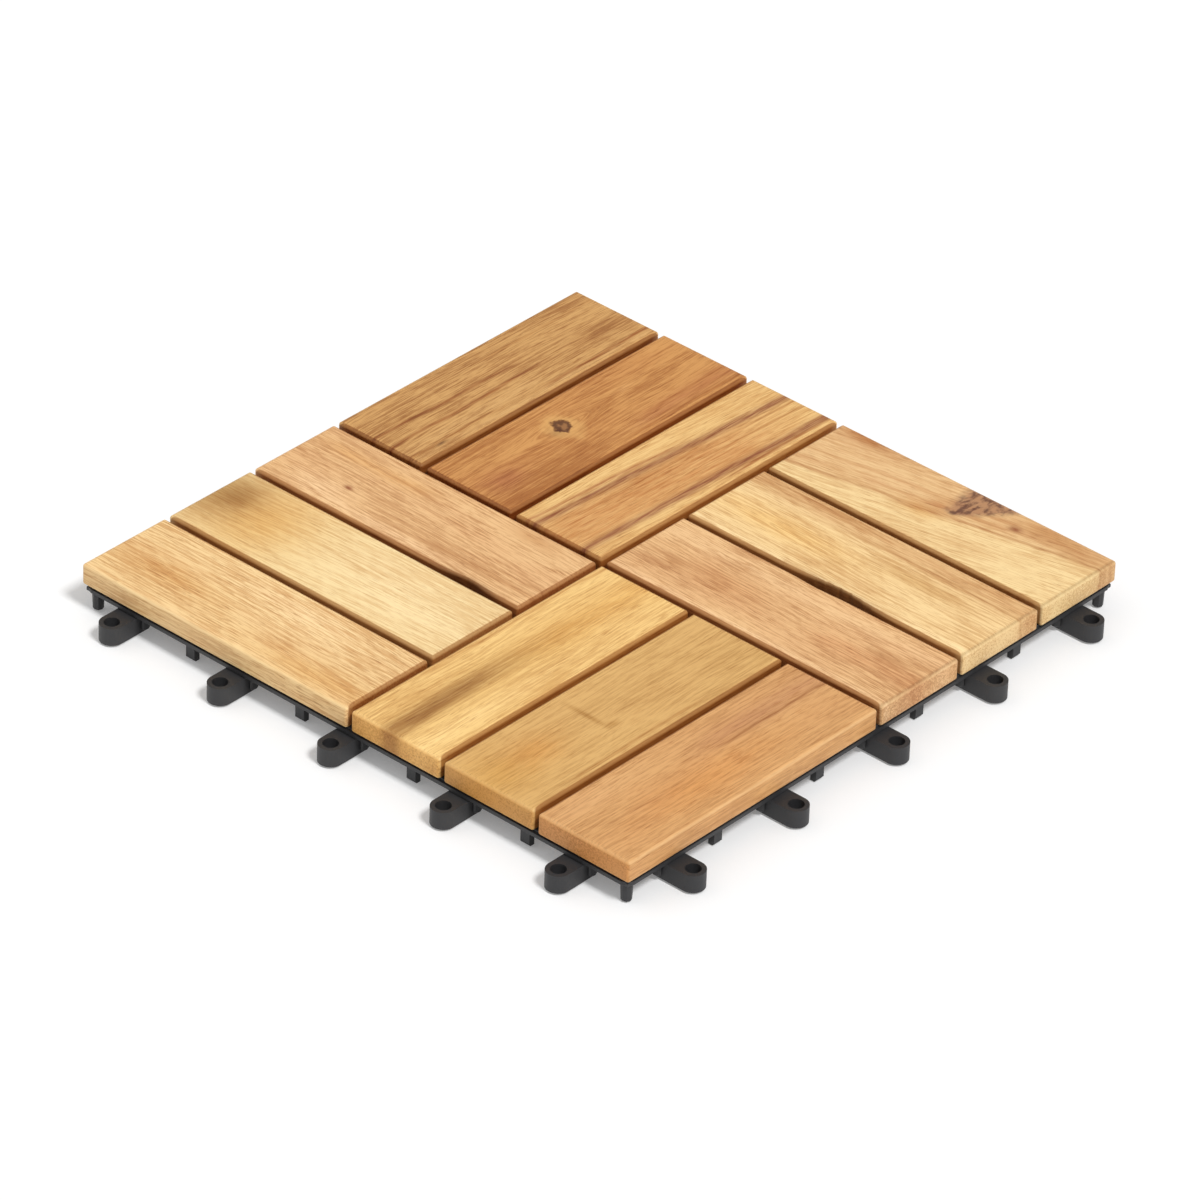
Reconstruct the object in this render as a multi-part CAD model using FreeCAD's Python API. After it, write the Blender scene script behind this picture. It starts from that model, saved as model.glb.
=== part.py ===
import FreeCAD, Part
import math
import os

# Interlocking deck tile: twelve hardwood slats in a two by two basket weave, screwed from below to one
# moulded plastic base.  The base is a diagonal lattice in a square border, with a foot under every
# crossing, five loops on each of two edges and five snap pins on each of the two others.
# Millimetres, +Z up, origin at the centre of the tile on the plane of its feet.

os.makedirs("parts", exist_ok=True)

V = FreeCAD.Vector

# Deck of slats
deck_side = 300.0
slats_per_panel = 3
slat_gap = 2.5
slat_thickness = 10.0
slat_edge_radius = 1.8

# Base plate: heights above the floor and the section of border and ribs
base_height = 12.5
base_inset = 0.5
base_corner_radius = 4.0
border_width = 7.6
border_depth = 2.3
ledge_width = 1.2
ledge_depth = 1.1
lip_width = 1.6
lip_depth = 3.2
lip_chamfer = 0.4
flange_width = 5.6
flange_depth = 1.6
web_width = 2.4
web_depth = 3.1
gusset_top = 23.0

# Feet under the lattice crossings
foot_tip_width = 5.2

# Slat screws, driven up through the feet
screw_shank_diameter = 2.2
screw_shank_clearance = 0.2
screw_head_diameter = 3.4
screw_head_clearance = 0.4
screw_head_height = 1.6
screw_reach = 6.5
screw_point = 1.6

# Interlock: loops on two edges, snap pins on the two others
tile_joint = 2.5
interlock_count = 5
interlock_pitch = 61.4
interlock_offset = 2.1
loop_reach = 8.0
loop_outer_diameter = 10.8
loop_hole_diameter = 6.8
loop_foot_gap = 1.0
loop_seat_gap = 0.2
pin_diameter = 4.4
pin_snap_clearance = 0.6
pin_snap_height = 2.4
pin_tip_height = 1.4
pin_tip_diameter = 3.8
pin_floor_gap = 0.4
pin_slot_width = 1.0
pin_slot_depth = 6.5

# Plain feet of the border: forks beside the loops, blades between them and posts at the corners
fork_diameter = 5.0
fork_chamfer = 0.8
fork_shift = 5.0
fork_floor_gap = 2.2
fork_slot_width = 1.6
blade_width = 4.8
blade_thickness = 3.0
blade_chamfer = 0.8
blade_floor_gap = 0.4
corner_post_diameter = 5.4
corner_post_tip_diameter = 4.6
corner_post_floor_gap = 0.8
corner_post_inset = 4.2

# Flat sides that stand for a full round on what repeats: screws with their holes, and posts and corners
screw_sides = 6
post_sides = 8

# Sizes that follow from those above
half_deck = deck_side / 2
slat_length = (deck_side - slat_gap) / 2
slat_width = (slat_length - (slats_per_panel - 1) * slat_gap) / slats_per_panel
slat_pitch = slat_width + slat_gap
node_step = slat_pitch / 2
nodes_out = 2 * slats_per_panel - 1
half_base = half_deck - base_inset
half_opening = half_base - border_width
flange_bottom = base_height - flange_depth
ledge_top = base_height - ledge_depth
border_bottom = base_height - border_depth
lip_bottom = base_height - lip_depth
web_bottom = base_height - web_depth
loop_line = half_deck + loop_reach
pin_line = deck_side + tile_joint - loop_line
loop_top = lip_bottom - loop_seat_gap
screw_seat = web_bottom


def square_face(half, radius):
    """A horizontal square face about the origin at z = 0, its corners rounded in a few flats by radius."""
    flats = post_sides // 4 if radius > 0 else 0
    middle = half - radius
    points = []
    for quarter in range(4):
        for k in range(flats + 1):
            turn = math.pi / 2 * (quarter + k / max(flats, 1))
            diagonal = math.pi / 4 + math.pi / 2 * quarter
            points.append(V(math.sqrt(2) * middle * math.cos(diagonal) + radius * math.cos(turn),
                            math.sqrt(2) * middle * math.sin(diagonal) + radius * math.sin(turn), 0))
    return Part.Face(Part.makePolygon(points + points[:1]))


def bar_face(x, y, angle, length, width):
    """A horizontal bar centred on (x, y), turned by angle in degrees, at z = 0."""
    bar = Part.makePlane(length, width, V(-length / 2, -width / 2, 0))
    bar.rotate(V(0, 0, 0), V(0, 0, 1), angle)
    bar.translate(V(x, y, 0))
    return bar


def lattice_faces(width):
    """The two crossed families of diagonal bars, one pair of slat pitches apart along the axes."""
    bars = []
    length = 4 * half_base
    for k in range(-nodes_out, nodes_out + 1):
        shift = k * node_step
        bars.append(bar_face(shift, -shift, 45, length, width))
        bars.append(bar_face(shift, shift, -45, length, width))
    return bars


def fused_plate(faces, bottom, top, inside):
    """Horizontal faces joined, trimmed to the face inside and raised into a plate from bottom to top."""
    flat = faces[0].multiFuse(faces[1:]).common(inside).removeSplitter()
    plate = flat.extrude(V(0, 0, top - bottom))
    plate.translate(V(0, 0, bottom))
    return plate


def turned(profile, sides):
    """A closed piece of round section drawn with flat sides, from its (diameter, height) pairs upwards.

    A last diameter of 0 makes a sharp point.
    """
    turn = [2 * math.pi * k / sides for k in range(sides)]
    rings = [[V(d / 2 * math.cos(a), d / 2 * math.sin(a), z) for a in turn] for d, z in profile]
    pointed = profile[-1][0] == 0
    ends = rings[:1] if pointed else [rings[0], rings[-1]]
    faces = [Part.Face(Part.makePolygon(ring + ring[:1])) for ring in ends]
    for low, high in zip(rings, rings[1:]):
        for k in range(sides):
            n = (k + 1) % sides
            upper = [high[k]] if pointed and high is rings[-1] else [high[n], high[k]]
            faces.append(Part.Face(Part.makePolygon([low[k], low[n]] + upper + [low[k]])))
    return Part.makeSolid(Part.makeShell(faces))


def ring_face(outer_half, width, radius):
    """The square border between outer_half and outer_half - width, rounded at its outer corners."""
    return square_face(outer_half, radius).cut(square_face(outer_half - width, max(radius - width, 0)))


def gusset_face():
    """The closed triangle between the two middle ribs and the border of the loop edge."""
    apex = -nodes_out * node_step - node_step
    points = [V(-gusset_top, apex + gusset_top, 0), V(gusset_top, apex + gusset_top, 0), V(0, apex, 0)]
    return Part.Face(Part.makePolygon(points + points[:1]))


def lip():
    """The outer lip that hangs down from the border, its lower outer edge chamfered."""
    block = square_face(half_base, base_corner_radius).extrude(V(0, 0, ledge_top - lip_bottom))
    rim = [e for e in block.Edges if e.BoundBox.ZMax < 1e-6]
    block = block.makeChamfer(lip_chamfer, rim)
    inner = square_face(half_base - lip_width, base_corner_radius - lip_width)
    block = block.cut(inner.extrude(V(0, 0, lip_depth)))
    block.translate(V(0, 0, lip_bottom))
    return block


def base_plate():
    """Border, lattice, middle rib and gusset: a flange layer against the slats and the webs and lip below.

    The flange layer stops short of the edge, so that the border has a ledge under the ends of the slats.
    """
    outline = square_face(half_base - ledge_width, base_corner_radius - ledge_width)
    apex = -(nodes_out + 1) * node_step
    rib_length = half_base - (apex + gusset_top)
    middle = bar_face(0, half_base - rib_length / 2, 90, rib_length, flange_width)
    middle_web = bar_face(0, half_base - rib_length / 2, 90, rib_length, web_width)
    border = ring_face(half_base, border_width, base_corner_radius)
    flanges = fused_plate([border, middle, gusset_face()] + lattice_faces(flange_width),
                          flange_bottom, base_height, outline)
    inside_lip = square_face(half_base - lip_width / 2, 0)
    step = border.common(inside_lip).extrude(V(0, 0, ledge_top - border_bottom))
    step.translate(V(0, 0, border_bottom))
    webs = fused_plate([middle_web] + lattice_faces(web_width), web_bottom, flange_bottom, inside_lip)
    return flanges.fuse([step, webs, lip()]).removeSplitter()


def crossings():
    """Lattice crossings inside the border as pairs of whole steps."""
    steps = range(-nodes_out, nodes_out + 1)
    return [(i, j) for i in steps for j in steps if (i + j) % 2 == 0]


def holds_screw(i, j):
    """A screw stands at the first and last crossing along each slat, on the middle line of the slat."""
    along, across = (i, j) if i * j > 0 else (j, i)
    return across % 2 != 0 and abs(along) in (1, nodes_out)


def screw_crossings():
    """The crossings that hold a screw."""
    return [(i, j) for i, j in crossings() if holds_screw(i, j)]


def foot():
    """One square foot, tapered to its tip, with its flats along the ribs."""
    diagonal = math.sqrt(2)
    return turned([(foot_tip_width * diagonal, 0.0), (flange_width * diagonal, flange_bottom)], 4)


def screw_bore():
    """The well for the head from below and the hole for the shank up to the slat."""
    well = screw_head_diameter + screw_head_clearance
    hole = screw_shank_diameter + screw_shank_clearance
    return turned([(well, 0.0), (well, screw_seat), (hole, screw_seat), (hole, base_height)], screw_sides)


def loop():
    """One loop on the edge that faces -Y, with its ring on the loop line and its arm under the border."""
    r = loop_outer_diameter / 2
    height = loop_top - loop_foot_gap
    reach = loop_line - half_opening
    ring = Part.makeCylinder(r, height, V(0, -loop_line, loop_foot_gap))
    arm = Part.makeBox(2 * r, reach, height, V(-r, -loop_line, loop_foot_gap))
    root = Part.makeBox(2 * r, border_width - lip_chamfer, flange_bottom - loop_foot_gap,
                        V(-r, -half_base + lip_chamfer, loop_foot_gap))
    hole = Part.makeCylinder(loop_hole_diameter / 2, height, V(0, -loop_line, loop_foot_gap))
    return ring.fuse([arm, root]).cut(hole)


def slot(width, bottom, diameter):
    """The slot that splits a round pin from its tip, through it at right angles to the edge."""
    return Part.makeBox(width, 2 * diameter, pin_slot_depth, V(-width / 2, -diameter, bottom))


def snap_pin():
    """One split pin with a barbed tip that springs through a loop of the next tile."""
    barb = loop_hole_diameter - pin_snap_clearance
    body = turned([(pin_tip_diameter, pin_floor_gap), (barb, pin_floor_gap + pin_tip_height),
                   (pin_diameter, pin_floor_gap + pin_snap_height), (pin_diameter, flange_bottom)],
                  post_sides)
    return body.cut(slot(pin_slot_width, pin_floor_gap, loop_hole_diameter))


def fork():
    """One split round foot beside a loop."""
    tip = fork_diameter - 2 * fork_chamfer
    body = turned([(tip, fork_floor_gap), (fork_diameter, fork_floor_gap + fork_chamfer),
                   (fork_diameter, flange_bottom)], post_sides)
    return body.cut(slot(fork_slot_width, fork_floor_gap, fork_diameter))


def blade():
    """One flat foot between two loops, with its outer tip cut off."""
    height = flange_bottom - blade_floor_gap
    corner = V(-blade_width / 2, -blade_thickness / 2, blade_floor_gap)
    body = Part.makeBox(blade_width, blade_thickness, height, corner)
    tips = [e for e in body.Edges if abs(e.CenterOfMass.y + blade_thickness / 2) < 1e-6
            and abs(e.CenterOfMass.z - blade_floor_gap) < 1e-6]
    return body.makeChamfer(blade_chamfer, tips)


def corner_post():
    """One round foot in a corner of the border, tapered to its tip."""
    return turned([(corner_post_tip_diameter, corner_post_floor_gap), (corner_post_diameter, flange_bottom)],
                  post_sides)


def placed(shape, x, y, angle):
    """A copy of shape moved to (x, y) on the edge that faces -Y, then turned about the tile's centre."""
    copy = shape.copy()
    copy.translate(V(x, y, 0))
    copy.rotate(V(0, 0, 0), V(0, 0, 1), angle)
    return copy


def interlock_places():
    """Places of the loops along the edge that faces -Y, counted from its middle."""
    first = -(interlock_count - 1) / 2
    return [interlock_pitch * (first + k) - interlock_offset for k in range(interlock_count)]


def border_feet():
    """Loops, forks, blades, snap pins and corner posts round the border."""
    loop_places = interlock_places()
    blade_places = [x + interlock_offset + interlock_pitch / 2 for x in loop_places[:-1]]
    mirror = V(1, 1, 0)
    pieces = []
    for x in loop_places:
        for shape, place, line in ((loop(), x, 0.0), (fork(), x + fork_shift, -pin_line)):
            piece = placed(shape, place, line, 0)
            pieces += [piece, piece.mirror(V(0, 0, 0), mirror)]
        pin = placed(snap_pin(), -x, -pin_line, 180)
        pieces += [pin, pin.mirror(V(0, 0, 0), mirror)]
    for x in blade_places:
        pieces += [placed(blade(), x, -pin_line, angle) for angle in (0, 90, 180, 270)]
    post_line = half_base - corner_post_inset
    pieces += [placed(corner_post(), post_line, -post_line, angle) for angle in (0, 90, 180, 270)]
    return pieces


def base_grid():
    """The whole moulded base as one solid."""
    feet = [placed(foot(), i * node_step, j * node_step, 0) for i, j in crossings()]
    base = base_plate().fuse(feet + border_feet())
    bores = [placed(screw_bore(), i * node_step, j * node_step, 0) for i, j in screw_crossings()]
    return base.cut(bores).removeSplitter()


def slat(x, y, along_x):
    """One slat centred on (x, y), its top edges rounded, with a pilot hole for each of its screws."""
    size = (slat_length, slat_width) if along_x else (slat_width, slat_length)
    board = Part.makeBox(size[0], size[1], slat_thickness, V(x - size[0] / 2, y - size[1] / 2, base_height))
    top = base_height + slat_thickness
    upper = [e for e in board.Edges if abs(e.BoundBox.ZMin - top) < 1e-6]
    board = board.makeFillet(slat_edge_radius, upper)
    pilots = [screw(i, j) for i, j in screw_crossings()
              if abs(i * node_step - x) < size[0] / 2 and abs(j * node_step - y) < size[1] / 2]
    return board.cut(pilots)


def screw(i, j):
    """One slat screw at a lattice crossing, head down and point up in the slat."""
    top = base_height + screw_reach
    solid = turned([(screw_head_diameter, screw_seat - screw_head_height), (screw_head_diameter, screw_seat),
                    (screw_shank_diameter, screw_seat), (screw_shank_diameter, top - screw_point),
                    (0, top)], screw_sides)
    solid.translate(V(i * node_step, j * node_step, 0))
    return solid


def panels():
    """Name, centre signs and direction of the slats of each quarter."""
    return [("left", -1, -1), ("back", -1, 1), ("front", 1, -1), ("right", 1, 1)]


def main():
    parts = {"base_grid": base_grid()}
    parts["slat_screws"] = Part.makeCompound([screw(i, j) for i, j in screw_crossings()])
    for name, sx, sy in panels():
        along_x = sx * sy > 0
        for n in range(slats_per_panel):
            far = (slat_gap + slat_length) / 2
            across = slat_gap / 2 + slat_width / 2 + n * slat_pitch
            x, y = (far * sx, across * sy) if along_x else (across * sx, far * sy)
            parts[f"slat_{name}_{n + 1}"] = slat(x, y, along_x)
    for name, shape in parts.items():
        shape.exportStep(f"parts/{name}.step")
        print(name, len(shape.Solids), "solids", round(shape.Volume, 1), "mm3", "valid", shape.isValid())


main()
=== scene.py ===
import math

import bpy
import numpy as np
from mathutils import Matrix, Vector


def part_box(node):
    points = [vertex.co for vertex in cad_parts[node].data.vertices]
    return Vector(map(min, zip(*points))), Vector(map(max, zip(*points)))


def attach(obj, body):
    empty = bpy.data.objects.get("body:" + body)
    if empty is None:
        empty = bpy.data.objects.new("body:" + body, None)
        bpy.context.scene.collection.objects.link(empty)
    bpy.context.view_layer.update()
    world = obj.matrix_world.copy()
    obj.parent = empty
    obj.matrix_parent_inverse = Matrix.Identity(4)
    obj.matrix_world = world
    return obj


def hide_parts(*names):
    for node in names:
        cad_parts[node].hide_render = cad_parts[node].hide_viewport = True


# Interlocking deck tile: twelve oiled hardwood slats on a charcoal moulded base, seen across its near corner.
# Metres, +Z up.  A board's own pattern is in millimetres along, across and up from the board's middle.

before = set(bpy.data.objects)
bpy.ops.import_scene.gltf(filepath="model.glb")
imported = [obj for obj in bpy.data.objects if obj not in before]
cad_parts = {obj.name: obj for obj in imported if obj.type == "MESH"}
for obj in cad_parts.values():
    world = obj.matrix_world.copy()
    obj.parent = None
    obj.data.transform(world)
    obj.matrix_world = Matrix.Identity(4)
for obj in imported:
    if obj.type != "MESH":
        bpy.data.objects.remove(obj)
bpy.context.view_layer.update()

MM = 0.001
QUARTERS = ("left", "back", "front", "right")
SLATS = [f"slat_{quarter}_{n}" for quarter in QUARTERS for n in (1, 2, 3)]
SLAT_BOX = {name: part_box(name) for name in SLATS}
DECK_HALF = max(high.x for low, high in SLAT_BOX.values())


# Shorthand for nodes and objects

BUMP_STRENGTH = 0.3


class Nodes:
    """Adds nodes to the tree of a material, world or group."""

    def __init__(self, tree):
        self.tree = tree

    def add(self, kind, **settings):
        node = self.tree.nodes.new(kind)
        for key, value in settings.items():
            setattr(node, key, value)
        return node

    def put(self, socket, value):
        """Links a socket to the input, or sets the input to a value."""
        if isinstance(value, bpy.types.NodeSocket):
            self.tree.links.new(value, socket)
        else:
            socket.default_value = value

    def fill(self, node, *values):
        """Gives the node's first inputs their values, and hands back its outputs."""
        for socket, value in zip(node.inputs, values):
            self.put(socket, value)
        return node.outputs

    def math(self, operation, *values):
        return self.fill(self.add("ShaderNodeMath", operation=operation), *values)[0]

    def vector(self, operation, *values):
        outputs = self.fill(self.add("ShaderNodeVectorMath", operation=operation), *values)
        return outputs[1 if operation == "LENGTH" else 0]

    def join(self, x, y, z):
        return self.fill(self.add("ShaderNodeCombineXYZ"), x, y, z)[0]

    def split(self, vector):
        return self.fill(self.add("ShaderNodeSeparateXYZ"), vector)

    def noise(self, place, detail, roughness=0.5, scale=1.0):
        """Noise from 0 to 1 about a half."""
        node = self.add("ShaderNodeTexNoise", noise_dimensions="3D")
        self.put(node.inputs["Vector"], place)
        self.put(node.inputs["Scale"], scale)
        self.put(node.inputs["Detail"], detail)
        self.put(node.inputs["Roughness"], roughness)
        return node.outputs[0]

    def drawn(self, place, rate, detail, roughness=0.5):
        """Noise from 0 to 1, with its rate of change per millimetre along, across and up."""
        return self.noise(self.vector("MULTIPLY", place, rate), detail, roughness)

    def swing(self, place, rate, detail, roughness=0.5):
        """The same noise about zero."""
        return self.math("SUBTRACT", self.drawn(place, rate, detail, roughness), 0.5)

    def shift(self, seed, stride):
        """How far a seed moves the noise."""
        return self.vector("MULTIPLY", self.join(seed, seed, seed), stride)

    def bell(self, far, fall=1.0):
        """exp(-fall far^2)"""
        return self.math("EXPONENT", self.math("MULTIPLY", self.math("MULTIPLY", far, far), -fall))

    def between(self, value, low, high, first=0.0, last=1.0):
        """A smooth step from first at low to last at high."""
        node = self.add("ShaderNodeMapRange", interpolation_type="SMOOTHSTEP")
        return self.fill(node, value, low, high, first, last)[0]

    def mix(self, factor, a, b, blend="MIX"):
        node = self.add("ShaderNodeMix", data_type="RGBA", blend_type=blend)
        self.put(node.inputs[0], factor)
        self.put(node.inputs[6], a)
        self.put(node.inputs[7], b)
        return node.outputs[2]

    def group(self, tree, **inputs):
        node = self.add("ShaderNodeGroup", node_tree=tree)
        for key, value in inputs.items():
            self.put(node.inputs[key], value)
        return node.outputs

    def attribute(self, name):
        return self.add("ShaderNodeAttribute", attribute_name=name).outputs["Fac"]

    def bump(self, height, distance):
        node = self.add("ShaderNodeBump")
        self.put(node.inputs["Strength"], BUMP_STRENGTH)
        self.put(node.inputs["Distance"], distance)
        self.put(node.inputs["Height"], height)
        return node.outputs[0]

    def seen_by(self, *rays):
        """1 for the named kinds of ray and 0 for all others."""
        light_path = self.add("ShaderNodeLightPath")
        seen = light_path.outputs[rays[0]]
        for ray in rays[1:]:
            seen = self.math("MAXIMUM", seen, light_path.outputs[ray])
        return seen


def new_group(name, inputs, outputs):
    """A node group with its sockets, and its inner input and output nodes."""
    tree = bpy.data.node_groups.new(name, "ShaderNodeTree")
    kinds = {"value": "NodeSocketFloat", "place": "NodeSocketVector", "colour": "NodeSocketColor"}
    for key, kind in inputs.items():
        tree.interface.new_socket(key, in_out="INPUT", socket_type=kinds[kind])
    for key, kind in outputs.items():
        tree.interface.new_socket(key, in_out="OUTPUT", socket_type=kinds[kind])
    nodes = Nodes(tree)
    return tree, nodes, nodes.add("NodeGroupInput").outputs, nodes.add("NodeGroupOutput").inputs


def new_material(name):
    """A material with a bare Principled BSDF."""
    material = bpy.data.materials.new(name)
    material.use_nodes = True
    return material, Nodes(material.node_tree), material.node_tree.nodes["Principled BSDF"]


def paint(red, green, blue):
    """The linear colour of a screen colour from 0 to 255."""
    screen = np.array([red, green, blue]) / 255
    linear = np.where(screen > 0.04045, ((screen + 0.055) / 1.055) ** 2.4, screen / 12.92)
    return (*linear.tolist(), 1.0)


def new_object(name, data):
    """A new object of the scene, with the given data."""
    thing = bpy.data.objects.new(name, data)
    bpy.context.collection.objects.link(thing)
    return thing


# Stage: camera, floor and light

WHITE = (1, 1, 1, 1)
CLIP_END = 20
FLOOR_HALF = 6.0
FLOOR_GREY = (0.82, 0.82, 0.82, 1)
FLOOR_GLOW = 0.2


def towards(bearing, height):
    """The direction of a bearing, from -Y towards +X, and a height, in degrees."""
    b, e = math.radians(bearing), math.radians(height)
    return Vector((math.sin(b) * math.cos(e), -math.cos(b) * math.cos(e), math.sin(e)))


def aim_camera(target, bearing, height, roll, distance, lens):
    """The camera looks at the target from a distance and, in degrees, a bearing, height and roll."""
    back = towards(bearing, height)
    level = Vector((0, 0, 1)).cross(back).normalized()
    upright = back.cross(level)
    r = math.radians(roll)
    right = level * math.cos(r) - upright * math.sin(r)
    up = level * math.sin(r) + upright * math.cos(r)
    turn = Matrix((right, up, back)).transposed().to_4x4()
    data = bpy.data.cameras.new("camera")
    data.lens = lens
    data.clip_end = CLIP_END
    camera = new_object("camera", data)
    camera.matrix_world = Matrix.Translation(Vector(target) + back * distance) @ turn
    bpy.context.scene.camera = camera


def lamp(name, bearing, height, strength, spread):
    """A distant soft lamp that shines from a bearing and height, with its spread, all in degrees."""
    data = bpy.data.lights.new(name, "SUN")
    data.energy = strength
    data.angle = math.radians(spread)
    new_object(name, data).rotation_euler = towards(bearing, height).to_track_quat("Z", "Y").to_euler()


def pale_floor():
    """A wide pale floor, white to the camera where nothing shades it, and clear from below."""
    h = FLOOR_HALF
    mesh = bpy.data.meshes.new("floor")
    mesh.from_pydata([(-h, -h, 0), (h, -h, 0), (h, h, 0), (-h, h, 0)], [], [(0, 1, 2, 3)])
    floor = new_object("floor", mesh)
    material, n, shader = new_material("pale_floor")
    n.put(shader.inputs["Base Color"], FLOOR_GREY)
    n.put(shader.inputs["Roughness"], 0.9)
    n.put(shader.inputs["Specular IOR Level"], 0.1)
    n.put(shader.inputs["Emission Color"], WHITE)
    seen = n.seen_by("Is Camera Ray", "Is Glossy Ray", "Is Transmission Ray")
    n.put(shader.inputs["Emission Strength"], n.math("MULTIPLY", seen, FLOOR_GLOW))
    below = n.add("ShaderNodeNewGeometry").outputs["Backfacing"]
    clear = n.add("ShaderNodeBsdfTransparent").outputs[0]
    one_sided = n.fill(n.add("ShaderNodeMixShader"), below, shader.outputs[0], clear)[0]
    n.put(material.node_tree.nodes["Material Output"].inputs["Surface"], one_sided)
    mesh.materials.append(material)


def pale_sky(strength):
    """An even sky that is white to the camera and shines with a set strength on the tile."""
    world = bpy.data.worlds.new("sky")
    bpy.context.scene.world = world
    world.use_nodes = True
    n = Nodes(world.node_tree)
    sky = world.node_tree.nodes["Background"]
    n.put(sky.inputs["Color"], WHITE)
    seen = n.seen_by("Is Camera Ray", "Is Transmission Ray")
    n.put(sky.inputs["Strength"], n.between(seen, 0, 1, strength, 1.0))


# Slats: the boards' shape

CORNER_RADIUS = 1.2 * MM
LEAST_RADIUS = 0.05 * MM
CORNER_POINTS = 5
POINTS_ALONG, POINTS_ACROSS = 110, 30
EDGE_POINTS = 8
TOP_WIDTH, TOP_DEPTH = 2.1 * MM, 1.6 * MM
UNDER_WIDTH, UNDER_DEPTH = 0.9 * MM, 0.9 * MM
FACE_RIM = 0.4 * MM
DENT_RIPPLE = 0.15
# Where the painted shade in a gap begins below the top, over what depth it grows, and over what height it
# ends
TUCK_START, TUCK_DEPTH, TUCK_END = 0.05 * MM, 2.7 * MM, 1.5 * MM
# How far in from the tile's rim the painted shade begins, and over what distance it grows
RIM_CLEAR, RIM_FADE = 1.0 * MM, 4.0 * MM


def outline(half_along, half_across, inset):
    """A level rounded rectangle: each corner is its centre plus its radius turned, with even points between.

    The corner's radius shrinks with the inset and stays above a small least value.
    """
    radius = max(CORNER_RADIUS - inset, LEAST_RADIUS)
    a, b = half_along - inset - radius, half_across - inset - radius
    turn = np.linspace(0, math.pi / 2, CORNER_POINTS)
    corners = []
    for k, (x, y) in enumerate(((a, b), (-a, b), (-a, -b), (a, -b))):
        arc = turn + k * math.pi / 2
        corners.append(np.stack([x + radius * np.cos(arc), y + radius * np.sin(arc)], 1))
    rows = []
    for k, corner in enumerate(corners):
        start, end = corner[-1], corners[(k + 1) % 4][0]
        share = np.linspace(0, 1, (POINTS_ALONG, POINTS_ACROSS)[k % 2] + 2)[1:-1, None]
        rows += [corner, start + (end - start) * share]
    return np.concatenate(rows)


def board_profile(thickness):
    """Inset, height and easing share, from the underside's middle round the edge to the top's middle.

    Each edge is a quarter of an oval: inset w - w sin t and height d - d cos t, for the turn t of the edge.
    The upper oval is wider than it is deep, as a slat's sanded edge is.  The easing share is sin 2t on the
    lower edge and 3.5 cos t sin^4 t on the upper one, which is 1 low on the round and 0 at both its ends.
    """
    turn = np.linspace(0, math.pi / 2, EDGE_POINTS)
    rise = turn[::-1]
    inset = np.concatenate([[UNDER_WIDTH + FACE_RIM], UNDER_WIDTH * (1 - np.sin(turn)),
                            TOP_WIDTH * (1 - np.sin(rise)), [TOP_WIDTH + FACE_RIM]])
    height = np.concatenate([[0], UNDER_DEPTH * (1 - np.cos(turn)),
                             thickness - TOP_DEPTH * (1 - np.cos(rise)), [thickness]])
    eased = np.concatenate([[0], np.sin(2 * turn), 3.5 * np.cos(rise) * np.sin(rise) ** 4, [0]])
    return inset, height, eased


def lie_of(name):
    """A slat's lowest corner, middle and size, and whether it runs along X."""
    low, high = SLAT_BOX[name]
    size = high - low
    return low, (low + high) / 2, size, size.x > size.y


def draw_in(rings, half_across, along, side, length, depth):
    """Draws one long edge in by depth exp(-(distance / length)^2), slightly rippled, in millimetres."""
    place = rings[:, :, 0] / MM
    at_edge = np.clip(rings[:, :, 1] * side / half_across, 0, 1) ** 8
    near = np.exp(-((place - along) / length) ** 2)
    ripple = 1 + DENT_RIPPLE * np.sin(place * 1.9) * np.sin(place * 0.73 + along)
    rings[:, :, 1] -= side * depth * MM * near * at_edge * ripple


def painted_gap_shade_share(points, seat, thickness):
    """Painted gap shade: 0 at the top to 1 down the sides between slats, and 0 at the underside and the
    tile's rim.
    """
    down = np.clip((thickness - TUCK_START - seat) / TUCK_DEPTH, 0, 1)
    off_underside = np.clip(seat / TUCK_END, 0, 1)
    from_rim = DECK_HALF - np.abs(points[:, :, :2]).max(2)
    return down * off_underside * np.clip((from_rim - RIM_CLEAR) / RIM_FADE, 0, 1)


def board_mesh(name, points):
    """Rings of points joined by quads from the lowest up, and closed by a flat face at each end."""
    levels, count = points.shape[:2]
    k = np.arange(count)
    n = (k + 1) % count
    level = np.arange(levels - 1)[:, None] * count
    quads = np.stack([level + k, level + n, level + count + n, level + count + k], 2).reshape(-1, 4)
    faces = quads.tolist() + [k[::-1].tolist(), (k + (levels - 1) * count).tolist()]
    mesh = bpy.data.meshes.new(name)
    mesh.from_pydata(points.reshape(-1, 3).tolist(), [], faces)
    mesh.shade_smooth()
    return mesh


def board(name, dents):
    """One slat: its edge profile carried round its outline, with its dents drawn in.

    A dent is given as along, side, length and depth, in millimetres.  The attribute "eased" holds the
    profile's easing share, and "tucked" says how far a point lies down in a gap between slats and so how
    much painted shade it gets.
    """
    low, middle, size, along_x = lie_of(name)
    half_along, half_across = (size.x / 2, size.y / 2) if along_x else (size.y / 2, size.x / 2)
    inset, height, eased = board_profile(size.z)
    rings = np.array([outline(half_along, half_across, i) for i in inset])
    for dent in dents:
        draw_in(rings, half_across, *dent)
    along, across = rings[:, :, 0], rings[:, :, 1]
    x, y = (along, across) if along_x else (-across, along)
    seat = np.broadcast_to(height[:, None], rings.shape[:2])
    points = np.stack([middle.x + x, middle.y + y, low.z + seat], 2)
    mesh = board_mesh(name + "_board", points)
    shares = {"eased": np.repeat(eased, rings.shape[1]), "tucked": painted_gap_shade_share(points, seat, size.z).ravel()}
    for key, value in shares.items():
        mesh.attributes.new(key, "FLOAT", "POINT").data.foreach_set("value", value.astype(np.float32))
    piece = new_object(name + "_board", mesh)
    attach(piece, "root")
    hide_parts(name)
    return piece


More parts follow.
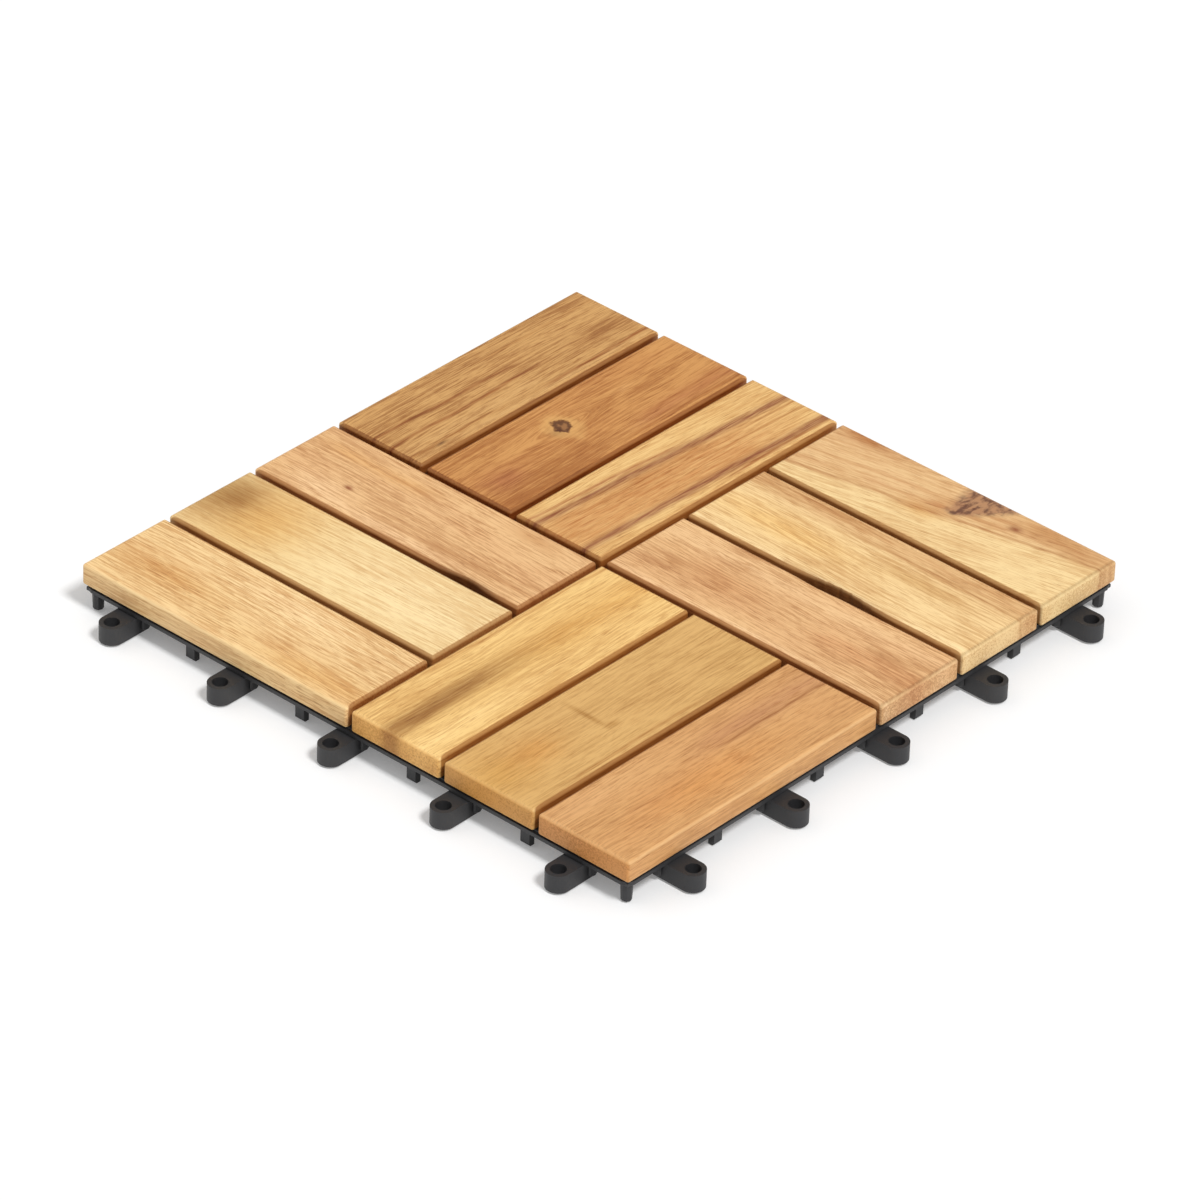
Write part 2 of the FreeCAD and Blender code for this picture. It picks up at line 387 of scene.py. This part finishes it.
# Slats: the hardwood.  Every group works in a board's millimetres along, across and up.

# Rates of change per millimetre along, across and up: only the figure changes faster along the grain
DRIFT, ZONE = (0.007, 0.02, 0.02), (0.013, 0.045, 0.045)
WARMTH, PATCH = (0.017, 0.06, 0.06), (0.025, 0.09, 0.09)
FIBRE, FLECK, PORE = (0.045, 1.1, 1.1), (0.12, 1.4, 1.4), (0.17, 2.8, 2.8)
FIGURE = (0.16, 0.05, 0.05)
RING_DRIFT = 0.007
# How far, in millimetres, the slow drift pushes the grain aside
WAVER = 9.0
WARM_TINT, FLECK_TINT, PORE_TINT = (0.9, 0.8, 0.77, 1), (0.66, 0.5, 0.36, 1), (0.6, 0.45, 0.34, 1)


def hardwood_group():
    """Sawn acacia: slow zones, growth bands about a pith line, fibres, flecks and pores.

    Each pattern is noise drawn out along the grain, and knots and the board's own waver push the grain aside.
    """
    tree, n, i, o = new_group(
        "hardwood",
        {"Grain": "place", "Pale": "colour", "Deep": "colour", "Blush": "value", "Ring": "value",
         "Pith Across": "value", "Pith Depth": "value", "Lean": "value", "Dive": "value", "Push": "value",
         "Zones": "value", "Bands": "value", "Fibres": "value", "Flecks": "value", "Seed": "value"},
        {"Color": "colour", "Roughness": "value", "Height": "value"})
    along, across, up = n.split(i["Grain"])

    # The grain's flow past waver, lean and knots, and the growth rings about the pith line
    shift = n.shift(i["Seed"], (317, 83, 59))
    own = n.vector("ADD", i["Grain"], shift)
    slow = n.swing(own, DRIFT, 2)
    aside = n.math("MULTIPLY_ADD", slow, WAVER, n.math("ADD", across, i["Push"]))
    aside = n.math("MULTIPLY_ADD", along, i["Lean"], aside)
    flow = n.vector("ADD", n.join(along, aside, up), shift)
    deeper = n.math("ADD", n.math("ADD", up, i["Pith Depth"]), n.math("MULTIPLY", along, i["Dive"]))
    radius = n.vector("LENGTH", n.join(n.math("SUBTRACT", aside, i["Pith Across"]), deeper, 0.0))
    rings = n.join(n.math("MULTIPLY", along, RING_DRIFT), n.math("DIVIDE", radius, i["Ring"]), i["Seed"])

    # Each pattern's strength from place to place
    zones = n.between(n.drawn(flow, ZONE, 2), 0.3, 0.7, -0.5, 0.5)
    bands = n.between(n.noise(rings, 4, 0.62), 0.32, 0.68, -0.5, 0.5)
    fibre = n.drawn(flow, FIBRE, 4, 0.7)
    patch = n.between(n.drawn(own, PATCH, 2), 0.35, 0.6)
    fleck = n.math("MULTIPLY", n.between(n.drawn(flow, FLECK, 2), 0.52, 0.68), patch)
    pore = n.between(n.drawn(flow, PORE, 1), 0.58, 0.74)
    figure = n.drawn(n.join(n.math("ADD", along, across), across, up), FIGURE, 2)
    warm = n.between(n.drawn(own, WARMTH, 2), 0.42, 0.66)

    # How deep the colour is, and what tints it
    depth = n.math("MULTIPLY_ADD", zones, i["Zones"], 0.42)
    depth = n.math("MULTIPLY_ADD", bands, i["Bands"], depth)
    depth = n.math("MULTIPLY_ADD", n.math("SUBTRACT", fibre, 0.5),
                   n.math("MULTIPLY", i["Fibres"], 5.2), depth)
    depth = n.math("MULTIPLY_ADD", n.math("SUBTRACT", figure, 0.5), 0.5, depth)
    colour = n.mix(n.between(depth, -0.1, 1.1), i["Pale"], i["Deep"])
    colour = n.mix(n.math("MULTIPLY", warm, i["Blush"]), colour, WARM_TINT, "MULTIPLY")
    colour = n.mix(n.math("MULTIPLY", fleck, i["Flecks"]), colour, FLECK_TINT, "MULTIPLY")
    colour = n.mix(n.math("MULTIPLY", pore, i["Flecks"]), colour, PORE_TINT, "MULTIPLY")
    n.put(o["Color"], colour)
    n.put(o["Roughness"], n.math("MULTIPLY_ADD", fibre, 0.2, 0.42))
    n.put(o["Height"], n.math("MULTIPLY_ADD", pore, -0.6, n.math("MULTIPLY", fibre, 0.7)))
    return tree


def band_group():
    """A band along the grain: exp(-(off / half)^edge), for the distance off its leaning, wandering line.

    It is broken up along the fibres and fades at its two ends.
    """
    tree, n, i, o = new_group(
        "grain_band",
        {"Grain": "place", "Line": "value", "Lean": "value", "Half": "value", "Edge": "value",
         "First": "value", "Last": "value", "Fade": "value", "Wander": "value", "Ragged": "value",
         "Seed": "value"},
        {"Mask": "value"})
    along, across, _ = n.split(i["Grain"])
    own = n.vector("ADD", i["Grain"], n.shift(i["Seed"], (91, 47, 29)))
    bend = n.swing(own, (0.02, 0.0, 0.03), 2)
    frayed = n.swing(own, (0.05, 0.55, 0.55), 3, 0.6)
    off = n.math("ADD", n.math("SUBTRACT", across, i["Line"]), n.math("MULTIPLY", along, i["Lean"]))
    off = n.math("MULTIPLY_ADD", bend, n.math("MULTIPLY", i["Wander"], 2.0), off)
    fray = n.math("MULTIPLY", i["Ragged"], n.math("MINIMUM", i["Half"], 5.0))
    off = n.math("MULTIPLY_ADD", frayed, fray, n.math("ABSOLUTE", off))
    share = n.math("DIVIDE", n.math("MAXIMUM", off, 0.0), i["Half"])
    body = n.math("EXPONENT", n.math("MULTIPLY", n.math("POWER", share, i["Edge"]), -1.0))
    dash = n.between(n.drawn(own, (0.07, 1.0, 1.0), 2), 0.35, 0.65, -1.0, 0.0)
    dash = n.math("MULTIPLY_ADD", dash, n.math("MULTIPLY", i["Ragged"], 0.5), 1.0)
    first = n.between(along, n.math("SUBTRACT", i["First"], i["Fade"]),
                      n.math("ADD", i["First"], i["Fade"]))
    last = n.between(along, n.math("SUBTRACT", i["Last"], i["Fade"]),
                     n.math("ADD", i["Last"], i["Fade"]), 1.0, 0.0)
    n.put(o["Mask"], n.math("MULTIPLY", n.math("MULTIPLY", body, dash), n.math("MULTIPLY", first, last)))
    return tree


def spot_group():
    """An oval spot: exp(-distance^2), for the distance from its middle in half lengths and half widths."""
    tree, n, i, o = new_group(
        "wood_spot",
        {"Grain": "place", "Along": "value", "Across": "value", "Length": "value", "Width": "value",
         "Ragged": "value"},
        {"Mask": "value"})
    along, across, _ = n.split(i["Grain"])
    frayed = n.swing(i["Grain"], (0.1, 0.35, 0.35), 3, 0.6)
    x = n.math("DIVIDE", n.math("SUBTRACT", along, i["Along"]), i["Length"])
    y = n.math("DIVIDE", n.math("SUBTRACT", across, i["Across"]), i["Width"])
    far = n.math("MULTIPLY_ADD", frayed, i["Ragged"], n.vector("LENGTH", n.join(x, y, 0.0)))
    n.put(o["Mask"], n.bell(n.math("MAXIMUM", far, 0.0)))
    return tree


def knot_group():
    """A knot: the grain bends round it, its halo is pale, its ring dark and its eye brown."""
    tree, n, i, o = new_group(
        "knot",
        {"Grain": "place", "Along": "value", "Across": "value", "Size": "value"},
        {"Push": "value", "Halo": "value", "Ring": "value", "Eye": "value"})
    x, y, _ = n.split(n.vector("SUBTRACT", i["Grain"], n.join(i["Along"], i["Across"], 0.0)))
    wobble = n.swing(i["Grain"], (0.26, 0.26, 0.1), 3)
    far = n.vector("LENGTH", n.join(x, n.math("MULTIPLY", y, 0.85), 0.0))
    far = n.math("DIVIDE", n.math("MULTIPLY_ADD", wobble, n.math("MULTIPLY", i["Size"], 2.4), far), i["Size"])
    wide = n.math("DIVIDE", n.vector("LENGTH", n.join(n.math("MULTIPLY", x, 0.4), y, 0.0)), i["Size"])
    side = n.math("DIVIDE", y, n.math("ADD", n.math("ABSOLUTE", y), n.math("MULTIPLY", i["Size"], 0.8)))
    bulge = n.math("MULTIPLY", n.bell(wide, 0.16), side)
    n.put(o["Push"], n.math("MULTIPLY", bulge, n.math("MULTIPLY", i["Size"], -1.7)))
    n.put(o["Halo"], n.math("MULTIPLY", n.between(far, 1.0, 1.5), n.between(far, 1.4, 3.2, 1.0, 0.0)))
    n.put(o["Ring"], n.between(far, 0.9, 1.5, 1.0, 0.0))
    n.put(o["Eye"], n.between(far, 0.35, 0.8, 1.0, 0.0))
    return tree


def wedge_group():
    """A knot cut lengthwise: a mottled wedge that widens from its tip to the board's edge."""
    tree, n, i, o = new_group(
        "knot_wedge",
        {"Grain": "place", "Along": "value", "Tip": "value", "Edge": "value", "Half": "value",
         "Skew": "value"},
        {"Mask": "value", "Mottle": "value"})
    along, across, _ = n.split(i["Grain"])
    share = n.math("DIVIDE", n.math("SUBTRACT", across, i["Tip"]), n.math("SUBTRACT", i["Edge"], i["Tip"]))
    share = n.math("MAXIMUM", share, 0.0)
    wobble = n.swing(i["Grain"], (0.3, 0.22, 0.22), 3)
    middle = n.math("MULTIPLY_ADD", share, i["Skew"], i["Along"])
    off = n.math("MULTIPLY_ADD", wobble, 5.0, n.math("ABSOLUTE", n.math("SUBTRACT", along, middle)))
    half = n.math("MULTIPLY", n.math("POWER", share, 0.7), i["Half"])
    body = n.between(n.math("SUBTRACT", off, half), -3.5, 3.0, 1.0, 0.0)
    n.put(o["Mask"], n.math("MULTIPLY", body, n.between(share, 0.0, 0.14)))
    n.put(o["Mottle"], n.between(n.drawn(i["Grain"], (0.36, 0.2, 0.2), 3), 0.38, 0.6))
    return tree


HARDWOOD = hardwood_group()
BAND = band_group()
SPOT = spot_group()
KNOT = knot_group()
WEDGE = wedge_group()

# The pale colour of the rounded edges: partly sanded wood, partly a painted highlight
BLEACHED_AND_HIGHLIGHT = paint(255, 234, 184)
# A knot's parts from the outside in, each with its strength and colour
KNOT_PARTS = (("Halo", 0.55, paint(236, 184, 112)),
              ("Ring", 0.85, paint(80, 44, 26)),
              ("Eye", 0.8, paint(168, 116, 70)))
WEDGE_DARK, WEDGE_PALE = paint(96, 54, 44), paint(182, 132, 94)
# How far the rounded edges pale: partly sanded wood, partly a painted highlight
SANDED_AND_HIGHLIGHT_SHARE = 0.6
GRAIN_RELIEF = 0.3 * MM
# Tints of the painted shade in the gaps between slats: one that starts at the top, one further down
GAP_SHADE, GAP_BOTTOM_SHADE = paint(192, 166, 142), paint(216, 160, 90)


def board_place(n, name):
    """Object coordinates turned into millimetres along, across and up from the board's middle."""
    _, middle, _, along_x = lie_of(name)
    turn = 0.0 if along_x else -math.pi / 2
    place = n.add("ShaderNodeMapping", vector_type="POINT")
    n.put(place.inputs["Vector"], n.add("ShaderNodeTexCoord").outputs["Object"])
    n.put(place.inputs["Scale"], (1 / MM, 1 / MM, 1 / MM))
    n.put(place.inputs["Rotation"], (0, 0, turn))
    n.put(place.inputs["Location"], -(Matrix.Rotation(turn, 3, "Z") @ middle) / MM)
    return place.outputs[0]


def hardwood(name, pale, deep, ring, pith_across, pith_depth, lean, flecks, zones, bands, fibres, blush, seed,
             marks, dive=0.0, knots=(), wedges=()):
    """The oiled hardwood of one slat, with its own bands, spots and knots."""
    material, n, shader = new_material(name + "_hardwood")
    place = board_place(n, name)
    made_knots = [n.group(KNOT, **{"Grain": place, **knot}) for knot in knots]
    push = 0.0
    for made in made_knots:
        push = n.math("ADD", made["Push"], push)
    wood = n.group(HARDWOOD, **{
        "Grain": place, "Pale": paint(*pale), "Deep": paint(*deep), "Blush": blush, "Ring": ring,
        "Pith Across": pith_across, "Pith Depth": pith_depth, "Lean": lean, "Dive": dive, "Push": push,
        "Zones": zones, "Bands": bands, "Fibres": fibres, "Flecks": flecks, "Seed": seed})

    # Sanded edges with a painted highlight, marks and knots over the wood, and the painted shade down in the
    # gaps over all of them
    # The rounded edges pale towards a bleached colour: partly sanded wood, partly a painted highlight
    sanded_and_highlight = n.mix(0.25, paint(*pale), BLEACHED_AND_HIGHLIGHT)
    colour = n.mix(n.math("MULTIPLY", n.attribute("eased"), SANDED_AND_HIGHLIGHT_SHARE), wood["Color"], sanded_and_highlight)
    for tree, tint, amount, values in marks:
        mask = n.group(tree, **{"Grain": place, **values})["Mask"]
        tinted = n.mix(1.0, colour, paint(*tint), "MULTIPLY")
        colour = n.mix(n.math("MULTIPLY", mask, amount), colour, tinted)
    for made in made_knots:
        for part, amount, tint in KNOT_PARTS:
            colour = n.mix(n.math("MULTIPLY", made[part], amount), colour, tint)
    for wedge in wedges:
        made = n.group(WEDGE, **{"Grain": place, **wedge})
        heart = n.mix(made["Mottle"], WEDGE_DARK, WEDGE_PALE)
        colour = n.mix(n.math("MULTIPLY", made["Mask"], 0.9), colour, heart)
    # Painted shade down the sides in the gaps between slats
    tuck = n.attribute("tucked")
    colour = n.mix(n.between(tuck, 0.0, 0.06), colour, GAP_SHADE, "MULTIPLY")
    colour = n.mix(n.between(tuck, 0.1, 0.95), colour, GAP_BOTTOM_SHADE, "MULTIPLY")

    n.put(shader.inputs["Base Color"], colour)
    n.put(shader.inputs["Roughness"], wood["Roughness"])
    # Less specular down in the gaps, along with the painted shade
    n.put(shader.inputs["Specular IOR Level"], n.math("MULTIPLY_ADD", tuck, -0.25, 0.3))
    n.put(shader.inputs["Normal"], n.bump(wood["Height"], GRAIN_RELIEF))
    return material


def band(tint, amount, line, half, lean=0.0, edge=2.0, first=-90.0, last=90.0, fade=12.0, wander=2.0,
         ragged=0.8, seed=1.0):
    """A tinted band along the grain: its line and half width across the board, and its ends along it."""
    return BAND, tint, amount, {"Line": line, "Half": half, "Lean": lean, "Edge": edge, "First": first,
                                "Last": last, "Fade": fade, "Wander": wander, "Ragged": ragged, "Seed": seed}


def spot(tint, amount, along, across, length, width, ragged=0.8):
    """A tinted oval spot: its middle along and across the board, and its half length and half width."""
    return SPOT, tint, amount, {"Along": along, "Across": across, "Length": length, "Width": width,
                                "Ragged": ragged}


def dress(name, slot, dents=(), **look):
    """Makes one slat's board and gives it its wood."""
    piece = board(name, dents)
    piece.data.materials.append(hardwood(name, **look))


# The look of each slat, from the left corner of the tile round to the right.  A mark's tint multiplies the
# wood's own colour, and one above 255 lightens it.

GOLD, AMBER, UMBER, CREAM = (255, 246, 222), (244, 230, 208), (214, 188, 162), (268, 276, 290)
STREAK, CRACK, FAINT, PLUM = (194, 156, 128), (190, 162, 138), (226, 204, 186), (172, 134, 138)
SMOKE, BARK, PIN_KNOT = (204, 188, 166), (76, 44, 48), (180, 140, 128)
# Narrow darker strips at the boards' ends: a warmer one at the front boards' near ends, a greyer one at the
# right boards' far ends
SAWN_END = spot((248, 230, 206), 1.0, -74.4, 0, 0.6, 400, ragged=0.0)
DARKER_END = spot((216, 212, 208), 1.0, 73.5, 0, 0.75, 400, ragged=0.0)

dress("slat_left_3", "acacia_tan", pale=(253, 216, 156), deep=(222, 172, 112), ring=5, pith_across=30,
      pith_depth=70, lean=0.01, flecks=0.6, zones=0.45, bands=0.3, fibres=0.95, blush=0.25, seed=1.3,
      marks=[spot(AMBER, 0.9, 52, -16, 36, 7), spot(AMBER, 0.8, -44, -5, 26, 8),
             spot(CREAM, 0.7, 20, 12, 44, 10), band(CREAM, 0.3, -22.5, 1.0, seed=0.5)])
dress("slat_left_2", "acacia_cream", pale=(255, 226, 168), deep=(234, 194, 134), ring=7, pith_across=-40,
      pith_depth=80, lean=-0.04, flecks=0.4, zones=0.4, bands=0.2, fibres=0.75, blush=0.1, seed=2.1,
      marks=[spot(AMBER, 1.0, -46, 0, 28, 28, ragged=0.3), spot((250, 240, 222), 0.8, -44, 0, 18, 22),
             spot(SMOKE, 1.0, -70, 4, 17, 19, ragged=0.4), spot((216, 198, 176), 0.8, -62, 7, 8, 9),
             spot(BARK, 0.8, 40, 24.6, 26, 1.6, ragged=0.6), spot(CREAM, 0.5, 40, 4, 40, 22)])
dress("slat_left_1", "acacia_tan", pale=(244, 198, 142), deep=(212, 160, 108), ring=4, pith_across=10,
      pith_depth=50, lean=0.02, flecks=0.6, zones=0.6, bands=0.3, fibres=0.95, blush=0.35, seed=3.7,
      dents=[(46, -1, 9, 1.6)],
      marks=[band(UMBER, 0.6, -13, 1.4, lean=0.02, first=8, seed=1.0),
             band(UMBER, 0.5, -9, 0.9, first=14, seed=2.0),
             spot(UMBER, 0.6, 46, 18, 12, 4), band(AMBER, 0.9, 12, 4, first=-66, last=-6, seed=3.0),
             spot(CREAM, 0.9, 0, -20, 40, 3.5), spot(CREAM, 0.8, -46, -14, 14, 7),
             spot(PIN_KNOT, 1.0, -36, -7.5, 2.2, 1.4, ragged=1.2),
             spot(BARK, 0.9, 46, -24.5, 13, 2.4, ragged=0.6)])
dress("slat_back_3", "acacia_gold", pale=(218, 168, 104), deep=(176, 122, 68), ring=4, pith_across=-6,
      pith_depth=60, lean=0.01, flecks=0.6, zones=0.35, bands=0.7, fibres=1.0, blush=0.15, seed=4.2,
      marks=[band(STREAK, 1.0, 2.0, 1.1, lean=0.03, last=8, seed=3.0),
             band(STREAK, 1.0, -5.5, 1.1, last=20, seed=4.0), band(UMBER, 0.6, 14, 0.8, first=0, seed=4.4),
             band((190, 150, 120), 1.0, -18.5, 1.0, first=10, seed=5.0),
             band(UMBER, 0.8, -17, 0.8, last=-20, seed=5.2), band(UMBER, 0.5, -6, 4.0, first=40, seed=6.0),
             band(CREAM, 0.6, -20.5, 1.0, seed=6.5), band(CREAM, 0.5, -13, 3.0, last=10, seed=6.6),
             spot(BARK, 0.6, -56, -18.4, 3, 0.8)])
dress("slat_back_2", "acacia_brown", pale=(218, 158, 92), deep=(178, 114, 58), ring=6, pith_across=26,
      pith_depth=60, lean=-0.03, flecks=0.5, zones=0.6, bands=0.45, fibres=0.7, blush=0.35, seed=5.9,
      knots=[{"Along": -11.0, "Across": 5.0, "Size": 3.5}],
      marks=[spot((226, 204, 214), 0.9, -58, -6, 12, 8),
             band((224, 200, 204), 0.9, -16, 5, lean=-0.02, first=14),
             band(UMBER, 0.9, -20.5, 0.9, first=0),
             band(UMBER, 0.8, -14, 0.8, lean=-0.04, first=24, seed=7.7),
             band(CREAM, 0.7, -17.0, 0.7, lean=-0.03, first=-30, last=40), spot(CREAM, 0.8, 30, 7, 4, 2),
             spot((160, 132, 130), 1.0, -15.5, 3.4, 3.0, 3.2)])
dress("slat_back_1", "acacia_gold", pale=(247, 205, 136), deep=(220, 167, 101), ring=5, pith_across=0,
      pith_depth=60, lean=0.05, flecks=0.6, zones=0.4, bands=0.4, fibres=0.7, blush=0.1, seed=6.4,
      marks=[band((228, 196, 180), 0.9, -4.5, 12.5, lean=0.045, edge=5, last=50, fade=34, seed=7.0),
             band(PLUM, 1.0, 8.5, 2.2, lean=0.062, wander=1.5, seed=8.0),
             band((206, 170, 164), 0.9, 12.0, 1.0, lean=0.07, last=10, wander=1.5, ragged=0.9, seed=8.5),
             band(PLUM, 1.0, -16.0, 2.2, lean=0.026, wander=1.5, seed=9.0),
             band((206, 170, 150), 0.9, -20.0, 0.8, first=10, ragged=0.9, seed=9.5),
             band(UMBER, 0.9, -2, 0.7, lean=0.05, first=20, seed=10.0),
             band(UMBER, 0.6, 3, 0.7, lean=0.05, seed=10.5)])
dress("slat_front_1", "acacia_gold", pale=(254, 212, 138), deep=(224, 174, 104), ring=6, pith_across=-30,
      pith_depth=45, lean=0.0, flecks=0.5, zones=0.45, bands=0.35, fibres=0.7, blush=0.1, seed=7.2,
      marks=[band((196, 180, 168), 1.0, 2.5, 5.2, edge=3, last=-12, fade=28, wander=1.5, ragged=0.3,
                  seed=11.0),
             band((232, 222, 204), 0.9, 2.0, 8, last=30, fade=40, seed=12.0),
             band(AMBER, 1.0, 1, 9, first=10, fade=20),
             band(UMBER, 0.8, 20.8, 0.9, first=-40, seed=13.0),
             band(CREAM, 0.5, -14, 4, last=10, fade=24, seed=14.0), SAWN_END])
dress("slat_front_2", "acacia_olive", pale=(228, 182, 114), deep=(202, 154, 90), ring=7, pith_across=15,
      pith_depth=90, lean=0.0, flecks=0.4, zones=0.5, bands=0.2, fibres=0.75, blush=0.1, seed=8.8,
      marks=[spot((250, 240, 210), 0.8, -66, 2, 16, 14), spot((252, 232, 206), 0.8, -44, 3, 14, 9),
             spot((208, 190, 160), 0.8, -11, 5, 1.5, 10, ragged=0.9),
             spot((216, 200, 172), 0.7, -8, -6, 3, 2.0),
             band(UMBER, 0.8, -20, 0.9, first=-50, last=30, seed=15.0), SAWN_END])
dress("slat_front_3", "acacia_rose", pale=(228, 174, 114), deep=(204, 150, 94), ring=8, pith_across=-20,
      pith_depth=80, lean=0.01, flecks=0.5, zones=0.5, bands=0.3, fibres=0.95, blush=0.25, seed=9.5,
      marks=[band((228, 214, 224), 0.9, 8, 6, first=6, fade=20, seed=16.0), spot(CREAM, 0.5, -60, 16, 30, 6),
             band(CRACK, 1.0, 3.4, 0.7, first=12, fade=8, ragged=1.1, seed=17.0),
             band(CRACK, 0.8, -3.6, 0.6, lean=0.05, first=-58, last=-32, fade=8, ragged=1.1, seed=18.0),
             spot((255, 236, 210), 0.8, -10, -8, 40, 10), SAWN_END])
dress("slat_right_1", "acacia_rose", pale=(244, 198, 142), deep=(210, 158, 106), ring=5, pith_across=-4,
      pith_depth=30, lean=0.02, dive=0.08, flecks=0.6, zones=0.6, bands=0.4, fibres=1.05, blush=0.35,
      seed=10.1, dents=[(0, 1, 9, 0.8)],
      marks=[spot((238, 222, 212), 0.9, -30, -2, 30, 9),
             band((238, 218, 208), 0.9, -3, 7, first=20, seed=19.0),
             band(CREAM, 0.8, -21.5, 1.6, seed=20.0), band(CREAM, 0.4, 14, 5, seed=20.5),
             spot(BARK, 0.6, 2, 24.5, 11, 1.6, ragged=0.6), DARKER_END])
dress("slat_right_2", "acacia_cream", pale=(255, 220, 160), deep=(226, 180, 120), ring=6, pith_across=24,
      pith_depth=50, lean=0.02, flecks=0.5, zones=0.6, bands=0.35, fibres=0.85, blush=0.15, seed=11.6,
      dents=[(8, -1, 15, 2.4)],
      marks=[band((224, 202, 190), 0.9, 19, 7, edge=2.4, seed=21.0),
             band(UMBER, 0.7, 13, 0.9, first=-20, seed=22.0),
             band(UMBER, 0.6, 20, 0.8, first=-70, last=0, seed=22.5),
             spot((226, 210, 186), 0.7, 30, 4, 24, 5), spot(GOLD, 0.9, -40, -4, 36, 8),
             band(CREAM, 0.7, -21.5, 1.4, seed=23.0),
             spot(BARK, 1.0, 8, -25, 19, 3.0, ragged=0.6), DARKER_END])
dress("slat_right_3", "acacia_cream", pale=(255, 224, 164), deep=(232, 190, 130), ring=6, pith_across=-26,
      pith_depth=40, lean=-0.19, flecks=0.5, zones=0.5, bands=0.3, fibres=0.75, blush=0.2, seed=12.3,
      wedges=[{"Along": 2.0, "Tip": 0.5, "Edge": 24.0, "Half": 14.0, "Skew": 9.0}],
      marks=[band((236, 216, 212), 0.85, 29, 30, lean=-0.19, edge=14, wander=5.0, ragged=0.6, seed=24.0),
             band((208, 176, 152), 0.8, -0.5, 1.1, lean=-0.19, wander=5.0, seed=24.0),
             band(FAINT, 0.6, 4.5, 1.0, lean=-0.17, wander=4.0, seed=25.0),
             band(FAINT, 0.6, 10, 1.2, lean=-0.14, wander=4.0, seed=26.0),
             spot((208, 174, 146), 1.0, -60, 22, 18, 5), spot(PIN_KNOT, 1.0, 30, 12, 3.0, 1.8, ragged=1.2),
             spot((228, 208, 190), 0.9, 45, 19, 22, 6), spot((236, 214, 186), 0.8, -8, -4, 10, 5),
             spot((226, 200, 180), 0.7, -4, 4, 6, 5), DARKER_END])


# Base and screws

MOULDED_RELIEF = 0.05 * MM


def charcoal_moulding():
    """Matt charcoal plastic with a fine moulded grain and faint dust."""
    material, n, shader = new_material("charcoal_moulding_look")
    place = n.add("ShaderNodeTexCoord").outputs["Object"]
    grain = n.noise(place, 3, 0.6, 1800.0)
    dust = n.math("MULTIPLY", n.between(n.noise(place, 2, 0.5, 40.0), 0.35, 0.75), 0.35)
    n.put(shader.inputs["Base Color"], n.mix(dust, paint(46, 46, 48), paint(62, 61, 60)))
    n.put(shader.inputs["Roughness"], n.math("MULTIPLY_ADD", grain, 0.25, 0.4))
    n.put(shader.inputs["Normal"], n.bump(grain, MOULDED_RELIEF))
    return material


def plated_steel():
    """Zinc-plated steel with a slightly uneven passivated surface."""
    material, n, shader = new_material("plated_steel_look")
    cloud = n.noise(n.add("ShaderNodeTexCoord").outputs["Object"], 3, 0.6, 900.0)
    n.put(shader.inputs["Metallic"], 1.0)
    n.put(shader.inputs["Base Color"], n.mix(cloud, paint(178, 176, 166), paint(205, 202, 190)))
    n.put(shader.inputs["Roughness"], n.math("MULTIPLY_ADD", cloud, 0.25, 0.2))
    return material


def refinish(node, material):
    """Gives a carried-over node its material in every slot."""
    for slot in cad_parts[node].material_slots:
        slot.material = material


refinish("base_grid", charcoal_moulding())
refinish("slat_screws", plated_steel())


# The photograph's view and light

aim_camera(target=(0, 0, 0.0036), bearing=40.95, height=33.68, roll=-2.09, distance=3.42, lens=250)
lamp("window", bearing=80, height=55, strength=2.1, spread=14)
lamp("fill", bearing=-60, height=40, strength=0.35, spread=60)
pale_sky(0.42)
pale_floor()
bpy.context.scene.view_settings.view_transform = "Standard"
